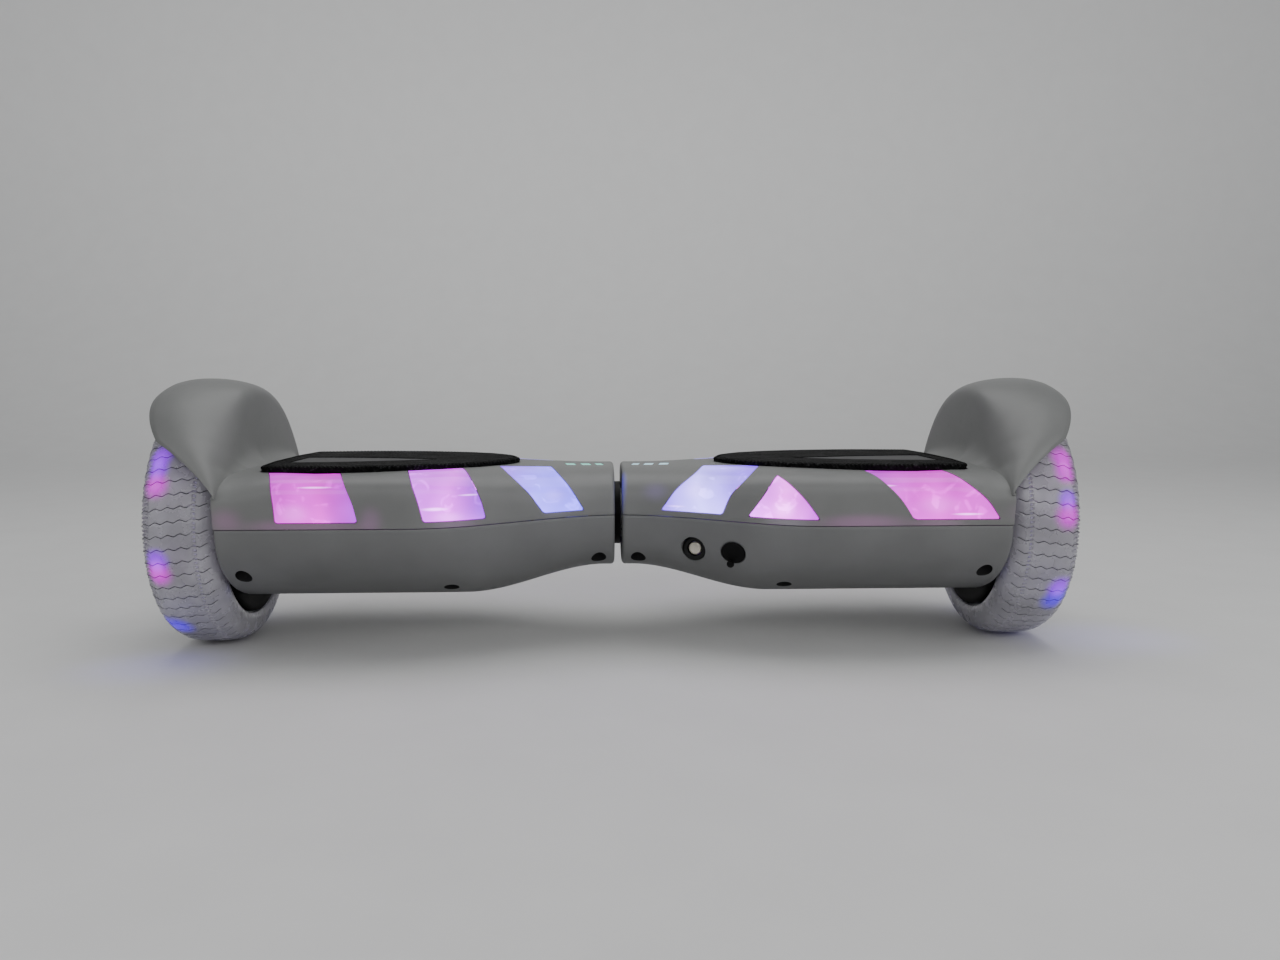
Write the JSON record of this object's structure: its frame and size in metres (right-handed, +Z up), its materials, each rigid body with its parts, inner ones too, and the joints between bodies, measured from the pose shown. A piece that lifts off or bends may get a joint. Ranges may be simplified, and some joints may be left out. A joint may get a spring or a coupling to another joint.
{
  "type": "self_balancing_hoverboard",
  "caption": "Self-balancing hoverboard with a twisting waist, lit shell windows, fenders, sprung foot pads, hub-motor wheels, a power button and a capped charge port",
  "frame": {"origin": "on the floor, under the middle of the board's bounding box", "axes": "+X along the board to its right wheel, +Y away from the side with the power button and charge port, +Z up"},
  "size_m": [0.592, 0.1836, 0.1781],
  "materials": {
    "shell_grey": "satin moulded plastic with a very fine grain",
    "light_lens": "milky translucent plastic, lit from behind",
    "indicator_lens": "milky translucent plastic, lit from behind",
    "chassis_alloy": "cast and machined",
    "circuit_board": "lacquered board",
    "motor_steel": "turned steel and laminations",
    "tyre_clear": "translucent whitish moulded tyre",
    "rim_alloy": "satin machined",
    "wheel_light": "milky light strip",
    "black_plastic": "satin black",
    "hub_grey": "satin dark grey",
    "bearing_steel": "ground",
    "pad_rubber": "matt textured black",
    "cable_black": "matt",
    "battery_wrap": "shrink wrap",
    "socket_steel": "plated",
    "bush_brass": "turned",
    "button_metal": "metallised",
    "cap_rubber": "matt black",
    "screw_black": "blackened"
  },
  "bodies": {
    "right_half": {"right_upper_shell": "shell_grey", "right_lower_shell": "shell_grey", "right_front_light_panel": "light_lens", "right_rear_light_panel": "light_lens", "right_indicator_lens": "indicator_lens", "right_chassis": "chassis_alloy", "right_axle_clamp": "chassis_alloy", "right_sensor_board": "circuit_board", "right_motor_stator": "motor_steel", "right_shell_screw_1": "screw_black", "right_shell_screw_2": "screw_black", "right_shell_screw_3": "screw_black", "right_shell_screw_4": "screw_black", "right_shell_screw_5": "screw_black", "right_shell_screw_6": "screw_black", "pivot_shaft": "bearing_steel", "pivot_collar": "black_plastic", "pivot_circlip": "bearing_steel", "cross_harness": "cable_black", "battery_pack": "battery_wrap", "power_switch_body": "black_plastic", "charge_socket": "socket_steel"},
    "left_half": {"left_upper_shell": "shell_grey", "left_lower_shell": "shell_grey", "left_front_light_panel": "light_lens", "left_rear_light_panel": "light_lens", "left_indicator_lens": "indicator_lens", "left_chassis": "chassis_alloy", "left_axle_clamp": "chassis_alloy", "left_sensor_board": "circuit_board", "left_motor_stator": "motor_steel", "left_shell_screw_1": "screw_black", "left_shell_screw_2": "screw_black", "left_shell_screw_3": "screw_black", "left_shell_screw_4": "screw_black", "left_shell_screw_5": "screw_black", "left_shell_screw_6": "screw_black", "pivot_inner_bushing": "bush_brass", "pivot_outer_bushing": "bush_brass", "control_board": "circuit_board"},
    "right_wheel": {"right_tyre": "tyre_clear", "right_wheel_rim": "rim_alloy", "right_wheel_light_ring": "wheel_light", "right_hub_inner_cover": "black_plastic", "right_hub_cap": "hub_grey", "right_inner_bearing": "bearing_steel", "right_outer_bearing": "bearing_steel"},
    "left_wheel": {"left_tyre": "tyre_clear", "left_wheel_rim": "rim_alloy", "left_wheel_light_ring": "wheel_light", "left_hub_inner_cover": "black_plastic", "left_hub_cap": "hub_grey", "left_inner_bearing": "bearing_steel", "left_outer_bearing": "bearing_steel"},
    "right_pad": {"right_foot_pad": "pad_rubber"},
    "left_pad": {"left_foot_pad": "pad_rubber"},
    "power_button": {"power_button": "button_metal"},
    "charge_cap": {"charge_port_cap": "cap_rubber"}
  },
  "joints": [
    {"name": "waist_twist", "type": "hinge", "parent": "right_half", "child": "left_half", "pos_m": [0, 0, 0.0854], "axis": [1, 0, 0], "range_deg": [-15, 15], "stiffness_Nm_per_rad": 8},
    {"name": "right_wheel_spin", "type": "hinge", "parent": "right_half", "child": "right_wheel", "pos_m": [0.27, 0, 0.0835], "axis": [1, 0, 0], "continuous": true},
    {"name": "left_wheel_spin", "type": "hinge", "parent": "left_half", "child": "left_wheel", "pos_m": [-0.27, 0, 0.0835], "axis": [1, 0, 0], "continuous": true},
    {"name": "right_pad_press", "type": "slide", "parent": "right_half", "child": "right_pad", "axis": [0, 0, -1], "range_m": [0, 0.0015], "stiffness_N_per_m": 3000, "springref_m": -0.001},
    {"name": "left_pad_press", "type": "slide", "parent": "left_half", "child": "left_pad", "axis": [0, 0, -1], "range_m": [0, 0.0015], "stiffness_N_per_m": 3000, "springref_m": -0.001},
    {"name": "power_button_press", "type": "slide", "parent": "right_half", "child": "power_button", "axis": [0.3746, 0.9272, 0], "range_m": [0, 0.0015], "stiffness_N_per_m": 600, "springref_m": -0.0005},
    {"name": "charge_cap_open", "type": "hinge", "parent": "right_half", "child": "charge_cap", "pos_m": [0.0705, -0.07326, 0.07507], "axis": [-0.9272, 0.3746, 0], "range_deg": [0, 110]}
  ]
}
